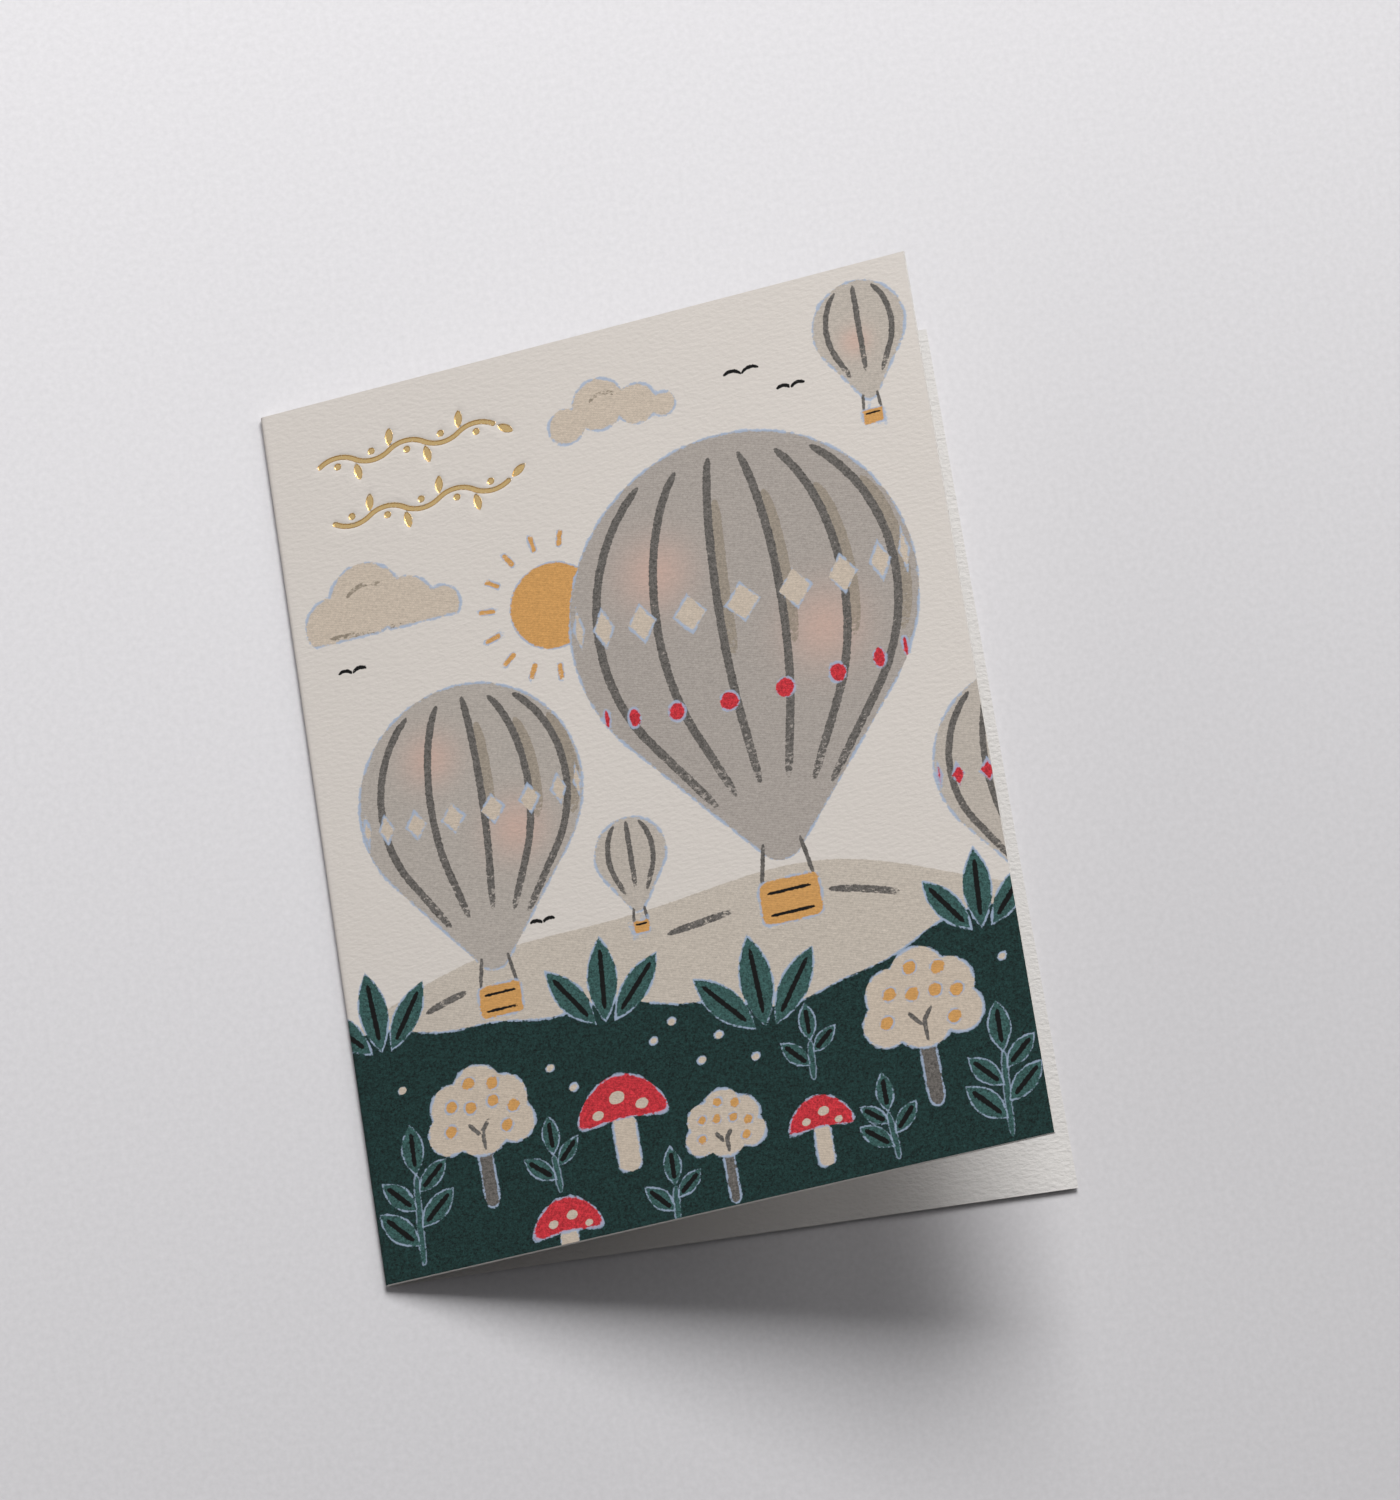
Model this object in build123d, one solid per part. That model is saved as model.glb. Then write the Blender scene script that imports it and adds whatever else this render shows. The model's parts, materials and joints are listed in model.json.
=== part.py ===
import os
from math import cos, pi, radians, sin

from build123d import *

# Greeting card: one sheet of thick, soft paper, scored across its middle and folded once.
# It lies on its back leaf, and the spring of the fold holds its front leaf a little open.
# Two gold sprigs are pressed into the front leaf, at its top corner beside the fold.
# X runs from the fold to the loose edges, Y up the card and Z up from the table.
# The origin is on the table, under the middle of the card.

# The sheet
leaf_width = 114.3  # half of the flat sheet, from the middle of the fold
leaf_height = 152.4  # along the fold
paper_thickness = 0.55
fold_inner_radius = 0.2
opening_angle = 19.0  # degrees from leaf to leaf

# The pressed sprigs
sprig_rows = 2
sprig_from_fold = 8.5  # to where the upper stem starts
sprig_from_top = 11.5  # to the middle line of the upper stem
sprig_row_spacing = 10.5
sprig_row_shift = 1.2  # each row starts this much further from the fold
press_depth = 0.15

stem_waves = 5  # half waves along one stem
stem_wave_length = 6.2
stem_sway = 0.95  # height of each half wave
stem_stroke = 0.85

leaflet_length = 3.1
leaflet_width = 1.35
leaflet_lean = 48.0  # degrees from the stem's own line
leaflet_gap = 0.4  # bare paper between stem and leaflet

berry_diameter = 1.2
berry_gap = 0.55  # bare paper between stem and berry


def on_bend(radius, angle):
    """The point of the section at this distance and angle from the middle of the bend."""
    return (radius * cos(radians(angle)), radius * sin(radians(angle)))


def along_leaf(start, distance, angle):
    """The point of the section this far from the start, along a leaf that rises at the angle."""
    return (start[0] + distance * cos(radians(angle)), start[1] + distance * sin(radians(angle)))


def sheet_section():
    """The sheet's edge: the back leaf flat, the bend round to the left, the front leaf rising."""
    outer_radius = fold_inner_radius + paper_thickness
    middle_radius = fold_inner_radius + paper_thickness / 2
    flat_run = leaf_width - middle_radius * radians(180 - opening_angle) / 2
    back_angle = 270
    front_angle = 90 + opening_angle
    bend_middle = (back_angle + front_angle) / 2

    back_outside = on_bend(outer_radius, back_angle)
    back_inside = on_bend(fold_inner_radius, back_angle)
    front_inside = on_bend(fold_inner_radius, front_angle)
    front_outside = on_bend(outer_radius, front_angle)
    back_edge = [along_leaf(point, flat_run, 0) for point in (back_outside, back_inside)]
    front_edge = [along_leaf(point, flat_run, opening_angle) for point in (front_inside, front_outside)]

    outline = Curve() + [
        Polyline(back_outside, *back_edge, back_inside),
        ThreePointArc(back_inside, on_bend(fold_inner_radius, bend_middle), front_inside),
        Polyline(front_inside, *front_edge, front_outside),
        ThreePointArc(front_outside, on_bend(outer_radius, bend_middle), back_outside),
    ]
    return make_face(Plane.XZ * outline)


def front_face():
    """The front leaf's outer face: its X away from the fold, its Y up the card."""
    rise = radians(opening_angle)
    outer_radius = fold_inner_radius + paper_thickness
    across = (cos(rise), 0, sin(rise))
    outward = (-sin(rise), 0, cos(rise))
    start = tuple(outer_radius * part for part in outward)
    return Plane(origin=start, x_dir=across, z_dir=outward)


def wave_bend(wave, first_bend):
    """1 where this wave of the stem bends up the card, -1 where it bends down."""
    return first_bend * (-1) ** wave


def stem(first_bend):
    """A waved line of equal arcs, which bend up and down in turn and join without a kink."""
    arcs = []
    for wave in range(stem_waves):
        start = (wave * stem_wave_length, 0)
        end = ((wave + 1) * stem_wave_length, 0)
        arcs.append(SagittaArc(start, end, stem_sway * wave_bend(wave, first_bend)))
    return SlotArc(Wire(arcs), stem_stroke)


def leaflet():
    """Two arcs that meet in a point at both ends, with the first point at the origin."""
    tip = (leaflet_length, 0)
    return make_face(
        Curve() + [SagittaArc((0, 0), tip, leaflet_width / 2), SagittaArc(tip, (0, 0), leaflet_width / 2)]
    )


def sprig(first_bend):
    """The stem, a berry inside each wave, a leaflet outside where each wave ends and one at the tip."""
    stem_edge = stem_stroke / 2
    drawing = Sketch() + stem(first_bend)
    for wave in range(stem_waves):
        bend = wave_bend(wave, first_bend)
        berry_height = bend * (stem_sway - stem_edge - berry_gap - berry_diameter / 2)
        drawing += Pos((wave + 0.5) * stem_wave_length, berry_height) * Circle(berry_diameter / 2)

        wave_end = Pos((wave + 1) * stem_wave_length, 0)
        lean = leaflet_lean if wave < stem_waves - 1 else 0
        leaflet_turn = Rot(0, 0, -bend * (wave_end_slope() + lean))
        drawing += wave_end * leaflet_turn * Pos(stem_edge + leaflet_gap, 0) * leaflet()
    return drawing


def wave_end_slope():
    """Degrees between the stem's line at the end of a wave and the row's middle line."""
    chord = Vector(stem_wave_length / 2, stem_sway)
    return 2 * chord.get_angle(Vector(1, 0))


def pressed_sprigs():
    """The rows on the front leaf's face: each bends the other way from the one above it."""
    rows = Sketch()
    for row in range(sprig_rows):
        across = sprig_from_fold + row * sprig_row_shift
        up = leaf_height / 2 - sprig_from_top - row * sprig_row_spacing
        rows += Pos(across, up) * sprig((-1) ** row)
    return front_face() * rows


def card():
    """The folded sheet with its pressed ornament, over the origin."""
    sheet = extrude(sheet_section(), amount=leaf_height / 2, both=True)
    sheet -= extrude(pressed_sprigs(), amount=-press_depth)
    box = sheet.bounding_box()
    return Pos(-box.center().X, 0, -box.min.Z) * sheet


os.makedirs("parts", exist_ok=True)
export_step(card(), "parts/card.step")
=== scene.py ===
import json
import math

import bmesh
import bpy
import numpy as np
from mathutils import Matrix, Vector

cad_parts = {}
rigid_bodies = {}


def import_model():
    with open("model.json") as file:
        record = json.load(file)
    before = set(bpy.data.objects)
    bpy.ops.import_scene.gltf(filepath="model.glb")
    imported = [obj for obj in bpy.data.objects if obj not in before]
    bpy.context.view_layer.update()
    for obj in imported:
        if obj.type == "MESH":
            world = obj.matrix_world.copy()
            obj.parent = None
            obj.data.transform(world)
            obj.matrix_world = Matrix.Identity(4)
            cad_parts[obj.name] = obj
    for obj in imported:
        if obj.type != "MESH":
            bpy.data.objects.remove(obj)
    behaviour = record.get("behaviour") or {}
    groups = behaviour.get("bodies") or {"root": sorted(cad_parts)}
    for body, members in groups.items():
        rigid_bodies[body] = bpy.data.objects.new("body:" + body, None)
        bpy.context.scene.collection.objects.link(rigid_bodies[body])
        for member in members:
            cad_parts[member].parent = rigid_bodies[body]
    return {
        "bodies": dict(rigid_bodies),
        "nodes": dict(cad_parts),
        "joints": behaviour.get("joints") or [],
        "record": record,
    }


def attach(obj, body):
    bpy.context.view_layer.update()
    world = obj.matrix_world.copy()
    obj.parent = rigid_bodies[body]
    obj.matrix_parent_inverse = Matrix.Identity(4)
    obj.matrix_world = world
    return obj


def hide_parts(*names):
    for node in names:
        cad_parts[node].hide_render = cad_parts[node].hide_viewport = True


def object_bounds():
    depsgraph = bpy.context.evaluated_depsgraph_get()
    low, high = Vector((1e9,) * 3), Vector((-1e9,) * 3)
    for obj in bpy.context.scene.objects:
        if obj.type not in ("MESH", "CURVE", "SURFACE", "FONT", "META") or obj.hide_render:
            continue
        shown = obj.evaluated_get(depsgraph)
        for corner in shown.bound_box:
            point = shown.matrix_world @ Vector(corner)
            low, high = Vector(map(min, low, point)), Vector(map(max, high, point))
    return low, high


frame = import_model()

mm = 0.001
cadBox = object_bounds()
print("frame loaded, card measures", [round((high - low) / mm, 1) for low, high in zip(*cadBox)], "mm")


# The folded sheet. Lengths are in mm here and in every other dictionary.

sheet = {
    "thickness": 0.55,
    "innerRadius": 0.2,
    "leafCells": 12,  # across each bare face
    "frontCells": 17,  # across the printed face, for each bare cell
    "bendCells": 10,
    "rows": 272,
    "backRows": 68,
    "fineCells": 3,  # of the pressed corner, across each cell of the rest
    "cutLean": 0.1,  # how much further in the outside is cut than the inside
    "lift": 0.3,  # of the back leaf's lower border off the table,
    "liftReach": 10,  # dying away over this much, upward and toward the fold
    "backAskew": 0.45,  # it isn't folded quite square: the back leaf's top corner lies this far in,
    "frontAskew": 0.2,  # and the front leaf's this far out
    "faceBand": 0.05,  # a face within this much of the inner radius is an inside one
    "sharp": 35,  # degrees from which an edge shows
}
low, high = (np.array(corner) / mm for corner in cadBox)
innerRadius = sheet["innerRadius"]
outerRadius = innerRadius + sheet["thickness"]
leafRun = high[0] - low[0] - outerRadius  # the flat part of a leaf
leafHeight = high[1] - low[1]
foldPlace = low[0] + outerRadius
# the loose corner stands leafRun sin(angle) + outerRadius cos(angle) over the middle of the bend
rise = math.asin((high[2] - outerRadius) / math.hypot(leafRun, outerRadius))
openAngle = rise - math.atan2(outerRadius, leafRun)
bendTurn = math.pi - openAngle
bendArc = (innerRadius + sheet["thickness"] / 2) * bendTurn  # along the sheet's middle
tiny = 1e-6
print("the leaves stand", round(math.degrees(openAngle), 2), "degrees open")


def onSheet(run, up, radius, bend):
    # bend turns a normal from the front leaf's (0) to the back leaf's (1); the point lies at radius
    # along that normal from the bend's middle line, then at run along the leaf, square to it
    turn = math.pi / 2 + openAngle + bend * bendTurn
    x = foldPlace + radius * np.cos(turn) + run * np.sin(turn)
    z = outerRadius + radius * np.sin(turn) - run * np.cos(turn)
    # the leaves lie askew by their share of the way to the top corner; the back leaf's run is negative
    askew = np.where(np.less(run, 0), sheet["backAskew"], sheet["frontAskew"])
    x = x + askew * (run / leafRun) * (up / leafHeight + 0.5)
    return np.stack(np.broadcast_arrays(x, up, z), -1) * mm


def smooth(low, high, value):
    # 0 below low, 1 above high, 3t^2 - 2t^3 between them
    share = np.clip((value - low) / (high - low), 0, 1)
    return share * share * (3 - 2 * share)


def turned(x, y, place, turn):
    # x and y in the frame of something at that place, turned by that many radians
    dx, dy, cos, sin = x - place[0], y - place[1], math.cos(turn), math.sin(turn)
    return dx * cos + dy * sin, dy * cos - dx * sin


# The pressed sprigs: two rows of a waved stem with leaflets and berries.

sprigs = {
    "rows": 2,
    "fromFold": 8.5,  # to where the upper stem starts
    "fromTop": 11.5,
    "rowSpacing": 10.5,
    "rowShift": 1.2,
    "waves": 5,
    "waveLength": 6.2,
    "sway": 0.95,
    "stroke": 0.85,
    "leafletLength": 3.1,
    "leafletWidth": 1.35,
    "lean": 48,  # degrees from the stem
    "leafletGap": 0.4,
    "berry": 1.2,
    "berryGap": 0.55,
    "depth": 0.15,
    "wallRun": 0.13,  # the pressed wall leans in by this much
    "halo": 0.11,  # the soft dip of the paper round each stroke
    "haloReach": 0.42,
    "haloEnd": 1.5,
    "under": 0.16,  # the paper lies this far under the foil's floor
    "foil": 0.02,
    "stemSteps": 22,  # along each wave
    "ringTurns": 40,  # round each leaflet and berry
    "capSteps": 12,  # round each end of a stem
    "insets": (-0.035, 0, 0.025, 0.05, 0.075, 0.1, 0.13, 0.17, 0.24, 9),  # of the foil's rings, to the core
    "rim": 0.006,  # the foil's first ring lies this far up the paper
    "coreEnd": 0.08,  # a leaflet's core stops this far from its points
    "weld": 0.002,
}
waves, waveLength, sway, stroke = (sprigs[key] for key in ("waves", "waveLength", "sway", "stroke"))
waveRadius = (waveLength**2 / 4 + sway**2) / (2 * sway)
waveHalfTurn = 2 * math.atan(2 * sway / waveLength)
leafletLength, leafletHalf = sprigs["leafletLength"], sprigs["leafletWidth"] / 2
leafletRadius = (leafletLength**2 / 4 + leafletHalf**2) / (2 * leafletHalf)

# each stem's place and first bend, each leaflet's foot and direction, each berry's middle
stems, leaflets, berries = [], [], []
leafletFoot = stroke / 2 + sprigs["leafletGap"]
berryDrop = stroke / 2 + sprigs["berryGap"] + sprigs["berry"] / 2
for row in range(sprigs["rows"]):
    across = sprigs["fromFold"] + row * sprigs["rowShift"]
    up = leafHeight / 2 - sprigs["fromTop"] - row * sprigs["rowSpacing"]
    stems.append((across, up, (-1) ** row))
    for wave in range(waves):
        bend = (-1) ** (row + wave)
        berries.append((across + (wave + 0.5) * waveLength, up + bend * (sway - berryDrop)))
        # the leaflet at a wave's end leans out from the stem, the last one goes straight on
        lean = sprigs["lean"] if wave < waves - 1 else 0
        turn = -bend * (math.radians(lean) + waveHalfTurn)
        waveEnd = across + (wave + 1) * waveLength
        leaflets.append((waveEnd + leafletFoot * math.cos(turn), up + leafletFoot * math.sin(turn), turn))


def stemLine(across, up, firstBend, steps):
    # equal arcs that bend up and down in turn: x = middle + R sin(a), y = bend (R cos(a) - R + sway)
    along = np.linspace(0, waves, waves * steps + 1)
    wave = np.minimum(np.floor(along), waves - 1)
    turn = (2 * (along - wave) - 1) * waveHalfTurn
    bend = firstBend * (-1.0) ** wave
    x = across + (wave + 0.5) * waveLength + waveRadius * np.sin(turn)
    y = up + bend * (waveRadius * (np.cos(turn) - 1) + sway)
    return np.stack([x, y], 1)


def pressedDistance(x, y):
    # mm to the nearest outline, negative inside it: to a stem's arcs less half a stroke, to a leaflet,
    # which is where two circles meet, and to a berry's circle
    nearest = np.full(np.shape(x), 99.0)
    for across, up, firstBend in stems:
        for wave in range(waves):
            bend = firstBend * (-1) ** wave
            dx = x - across - (wave + 0.5) * waveLength
            dy = bend * (y - up) - sway + waveRadius
            inArc = np.abs(np.arctan2(dx, dy)) <= waveHalfTurn
            toArc = np.abs(np.hypot(dx, dy) - waveRadius)
            toEnd = np.hypot(np.abs(dx) - waveLength / 2, y - up)
            nearest = np.minimum(nearest, np.where(inArc, toArc, toEnd) - stroke / 2)
    for *foot, turn in leaflets:
        along, aside = turned(x, y, foot, turn)
        aside = np.abs(aside) + (leafletRadius - leafletHalf)
        nearest = np.minimum(nearest, np.hypot(along - leafletLength / 2, aside) - leafletRadius)
    for berryX, berryY in berries:
        nearest = np.minimum(nearest, np.hypot(x - berryX, y - berryY) - sprigs["berry"] / 2)
    return nearest


def haloDepth(distance):
    # full inside a stroke, dying away outside it as exp(-distance / reach), and nothing past its end
    fade = 1 - smooth(0.5 * sprigs["haloEnd"], sprigs["haloEnd"], distance)
    return sprigs["halo"] * np.exp(-np.maximum(distance, 0) / sprigs["haloReach"]) * fade


# Meshes.

def newObject(name, data):
    made = bpy.data.objects.new(name, data)
    bpy.context.scene.collection.objects.link(made)
    return made


def newPiece(name, places, faces, material):
    mesh = bpy.data.meshes.new(name)
    mesh.from_pydata(places.tolist(), [], faces)
    mesh.materials.append(material)
    mesh.shade_smooth()
    mesh.set_sharp_from_angle(angle=math.radians(sheet["sharp"]))
    return newObject(name, mesh)


def store(mesh, name, kind, domain, values):
    # one numpy array becomes one attribute of the mesh
    key = "color" if kind == "FLOAT_COLOR" else "vector" if kind == "FLOAT_VECTOR" else "value"
    made = mesh.attributes.new(name, kind, domain)
    made.data.foreach_set(key, np.ascontiguousarray(values, dtype=np.float32).ravel())


def leafGrid(top, bottom, spans, rows, leaveOut=None):
    # a closed leaf: the (run, bend, radius) of its top and bottom, from the joint to the loose edge, are
    # one ring, carried up the card; n-gons close its two ends, each from one bottom cell to the span of
    # top cells over it; a block and the cells round it are left out
    ring = np.concatenate([top[::-1], bottom])
    up = np.linspace(-leafHeight / 2, leafHeight / 2, rows + 1)
    last = len(top) - 1
    grid = np.arange((rows + 1) * len(ring)).reshape(rows + 1, -1)
    ahead = np.roll(grid, -1, axis=1)
    quads = np.stack([grid[:-1], grid[1:], ahead[1:], ahead[:-1]], -1)
    keep = np.ones(quads.shape[:2], bool)
    if leaveOut is not None:
        (firstCell, endCell), (firstRow, endRow) = leaveOut
        keep[firstRow:endRow, last - endCell - 1 : last - firstCell + 1] = False
        keep[firstRow - 1 : endRow + 1, last - endCell : last - firstCell] = False
    faces = quads[keep].tolist()
    for row, way in ((0, 1), (rows, -1)):
        stop = last
        for cell, span in enumerate(spans, last + 1):
            face = np.concatenate([grid[row, cell : cell + 2], grid[row, stop - span : stop + 1]])
            faces.append(face[::way].tolist())
            stop -= span
    points = np.column_stack([np.tile(ring, (rows + 1, 1)), np.repeat(up, len(ring))])
    return points, faces, grid[:, last::-1]


def fineCorner(points, topGrid, cells, rows):
    # fills the block with fineCells times as many cells each way; the cells round it take up the new
    # points on their shared sides, one side after another by quarter turns
    share = sheet["fineCells"]
    coarse = topGrid[rows[0] : rows[1] + 1, cells[0] : cells[1] + 1]
    tall, wide = (np.array(coarse.shape) - 1) * share + 1
    grid = np.full((tall, wide), -1)
    grid[::share, ::share] = coarse
    fresh = grid < 0
    grid[fresh] = len(points) + np.arange(fresh.sum())
    run, up = (
        np.interp(np.arange(count) / share, np.arange(len(stops)), stops)
        for count, stops in ((wide, points[coarse[0], 0]), (tall, points[coarse[:, 0], 3]))
    )
    block = np.zeros((tall, wide, 4))
    block[..., 0], block[..., 2], block[..., 3] = run, outerRadius, up[:, None]
    points = np.concatenate([points, block[fresh]])

    quads = np.stack([grid[:-1, :-1], grid[:-1, 1:], grid[1:, 1:], grid[1:, :-1]], -1)
    faces = quads.reshape(-1, 4).tolist()
    around = topGrid[rows[0] - 1 : rows[1] + 2, cells[0] - 1 : cells[1] + 2]
    for side in range(4):
        outer, inner = np.rot90(around, side)[0, 1:-1], np.rot90(grid, side)[0]
        for cell in range(len(outer) - 1):
            shared = inner[cell * share : (cell + 1) * share + 1]
            faces.append(outer[cell : cell + 2].tolist() + shared[::-1].tolist())
    return points, faces, grid


def pressCorner(points, grid):
    # points within half a cell of an outline move onto it, down the slope of their distance, so that the
    # dip has a clean edge, and then all sink
    block = points[grid]
    x, y = block[..., 0], block[..., 3]
    distance = pressedDistance(x, y)
    slopeY, slopeX = np.gradient(distance, y[:, 0], x[0])
    steep = np.maximum(slopeX**2 + slopeY**2, 0.2)
    cell = x[0, 1] - x[0, 0]
    snap = np.abs(distance) < 0.5 * cell
    x = np.where(snap, x - distance * slopeX / steep, x)
    y = np.where(snap, y - distance * slopeY / steep, y)
    distance = pressedDistance(x, y)
    sunk = haloDepth(distance) + (sprigs["depth"] + sprigs["under"]) * smooth(0, 0.5 * cell, -distance)
    block[..., 0], block[..., 3] = x, y
    block[..., 2] = outerRadius - sunk
    points[grid] = block
    return points


def newLeaf(name, points, faces, material, strips):
    # placed with the outside's border moved in, so that the cut edge leans, and the back leaf, whose run
    # is negative, lifted at its lower border
    placed = points.copy()
    outside = placed[:, 2] > outerRadius - tiny
    for column, end in ((0, leafRun), (3, leafHeight / 2)):
        border = outside & (np.abs(placed[:, column]) > end - tiny)
        placed[border, column] -= np.sign(placed[border, column]) * sheet["cutLean"]
    run, bend, radius, up = placed.T
    places = onSheet(run, up, radius, bend)
    lower = -leafHeight / 2
    curl = 1 - smooth(lower, lower + sheet["liftReach"], up)
    places[:, 2] += sheet["lift"] * mm * curl * smooth(0, sheet["liftReach"], -run)
    piece = newPiece(name, places, faces, material)
    store(piece.data, "sheetPlace", "FLOAT_VECTOR", "POINT", sheetPlaces(points))
    stripMap(piece, points, strips)
    return piece


def chain(radius, bends, runs):
    # (run, bend, radius) round the bend and then along the leaf
    return np.array([(0, bend, radius) for bend in bends] + [(run, 0, radius) for run in runs])


def buildFrontLeaf(material):
    # the bend and the leaf in one grid, with its fine block where the sprigs and their leaflets reach
    bends = np.linspace(1, 0, sheet["bendCells"] + 1)
    runs = np.linspace(0, leafRun, sheet["leafCells"] * sheet["frontCells"] + 1)
    top = chain(outerRadius, bends, runs[1:])
    bottom = chain(innerRadius, bends, runs[:: sheet["frontCells"]][1:])
    spans = [1] * sheet["bendCells"] + [sheet["frontCells"]] * sheet["leafCells"]

    margin = 1.6
    reach = leafletFoot + leafletLength + margin
    (first, topStem, _), (last, lowStem, _) = stems[0], stems[-1]
    width, height, middle = runs[1], leafHeight / sheet["rows"], sheet["rows"] / 2
    cells = [
        sheet["bendCells"] + math.floor((first - stroke - margin) / width),
        sheet["bendCells"] + math.ceil((last + waves * waveLength + reach) / width),
    ]
    rows = [
        math.floor(middle + (lowStem - reach) / height),
        math.ceil(middle + (topStem + reach) / height),
    ]
    points, faces, topGrid = leafGrid(top, bottom, spans, sheet["rows"], (cells, rows))
    points, fineFaces, grid = fineCorner(points, topGrid, cells, rows)
    points = pressCorner(points, grid)
    return newLeaf("front_leaf", points, faces + fineFaces, material, frontStrips), points


frontStrips = {
    "outside": (0.010, 0.740), "inside": (0.755, 0.930), "bendOutside": (0.938, 0.950),
    "bendInside": (0.955, 0.962), "edge": (0.967, 0.973), "joint": (0.976, 0.979),
    "lowEnd": (0.983, 0.987), "highEnd": (0.991, 0.995),
}
backStrips = {
    "outside": (0.010, 0.470), "inside": (0.485, 0.945), "edge": (0.955, 0.961), "joint": (0.967, 0.972),
    "lowEnd": (0.978, 0.983), "highEnd": (0.989, 0.994),
}
mapMargin = 0.01
stripWays = {  # what runs along a strip and across it, where that isn't up and radius
    "outside": ("up", "run"), "inside": ("up", "run"), "bendOutside": ("up", "bend"),
    "bendInside": ("up", "bend"), "lowEnd": ("run", "radius"), "highEnd": ("run", "radius"),
}


def stripMap(piece, points, strips):
    # the map that the colours are baked through: each side and end of the leaf is a strip of its own,
    # told by which of run, bend, radius and up is the same all over a face
    mesh = piece.data
    corner, start, face = cornersOf(mesh)
    run, bend, radius, up = points[corner].T
    least, most = (end.reduceat(points[corner], start, axis=0).T for end in (np.minimum, np.maximum))
    isFlat = most - least < tiny
    onBend = np.abs(least[0]) + np.abs(most[0]) < tiny
    inner = most[2] < innerRadius + sheet["faceBand"]
    names = np.select(
        [isFlat[3] & (least[3] < 0), isFlat[3], onBend & isFlat[1], isFlat[0] & ~onBend,
         onBend & inner, onBend, inner],
        ["lowEnd", "highEnd", "joint", "edge", "bendInside", "bendOutside", "inside"], "outside")
    share = {
        "run": np.abs(run) / leafRun,
        "bend": bend,
        "radius": (radius - innerRadius) / sheet["thickness"],
        "up": up / leafHeight + 0.5,
    }
    long, across = np.zeros((2, len(corner)))
    for name, (first, last) in strips.items():
        mine = (names == name)[face]
        along, side = stripWays.get(name, ("up", "radius"))
        long[mine] = mapMargin + (1 - 2 * mapMargin) * share[along][mine]
        across[mine] = first + (last - first) * np.clip(share[side][mine], 0, 1)
    layer = mesh.uv_layers.new(name="OFBake")
    layer.uv.foreach_set("vector", np.stack([long, across], 1).astype(np.float32).ravel())


def cornersOf(mesh):
    # each face corner's point, each face's first corner, and each corner's face
    corner, start = np.zeros(len(mesh.loops), np.int32), np.zeros(len(mesh.polygons), np.int32)
    mesh.loops.foreach_get("vertex_index", corner)
    mesh.polygons.foreach_get("loop_start", start)
    return corner, start, np.repeat(np.arange(len(start)), np.diff(np.append(start, len(corner))))


def sheetPlaces(points):
    # a point on the unfolded sheet: from the fold, from the lower edge, and on which radius, where the
    # pressed strokes count as the outside
    run, bend, radius, up = points.T
    flat = run - bendArc * bend
    side = np.where(radius > innerRadius + sheet["faceBand"], outerRadius, radius)
    return np.stack([flat, up + leafHeight / 2, side], 1)


def buildBackLeaf(material):
    # flat, between the two radii
    runs = -np.linspace(0, leafRun, sheet["leafCells"] + 1)
    top, bottom = (np.array([(run, 1, radius) for run in runs]) for radius in (innerRadius, outerRadius))
    points, faces, _ = leafGrid(top, bottom, [1] * sheet["leafCells"], sheet["backRows"])
    return newLeaf("back_leaf", points, faces, material, backStrips)


# The picture on the front: balloons over a meadow. Places are from the fold and from the lower edge.

def ink(*levels):
    # sRGB levels turned to linear light
    share = np.array(levels) / 255
    return np.where(share <= 0.04045, share / 12.92, ((share + 0.055) / 1.055) ** 2.4)


inks = {
    "warmGrey": ink(163, 155, 148),
    "lightGrey": ink(170, 162, 154),
    "beige": ink(180, 171, 161),
    "hill": ink(189, 179, 167),
    "crayon": ink(98, 94, 90),
    "shade": ink(144, 133, 118),
    "black": ink(5, 5, 5),
    "green": ink(23, 47, 45),
    "teal": ink(52, 84, 81),
    "red": ink(188, 48, 57),
    "ochre": ink(199, 149, 88),
    "offWhite": ink(193, 179, 163),
    "paleBlue": ink(158, 174, 197),
    "blush": ink(199, 166, 152),
}


def shapeDistance(u, v, long, wide, p, q, bow):
    # |u|^p + |v - bow (1 - u^2)|^q = 1 is the outline; the sum less 1, over its slope, is about the
    # distance to it
    side = np.abs(v - bow * (1 - u * u))
    u = np.abs(u)
    slope = np.hypot(p * u ** (p - 1) / long, q * side ** (q - 1) / wide)
    return (u**p + side**q - 1) / np.maximum(slope, 1e-3)


def offset(x, y, reach, turn):
    # the place that far away, in the direction of turn in degrees
    return x + reach * math.cos(math.radians(turn)), y + reach * math.sin(math.radians(turn))


# the balloons, each the hull of a big circle and a small one under it, and a basket under that; the gore
# lines are at shares of the half width, and a band has its level, form, count, ink and half lengths

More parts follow.
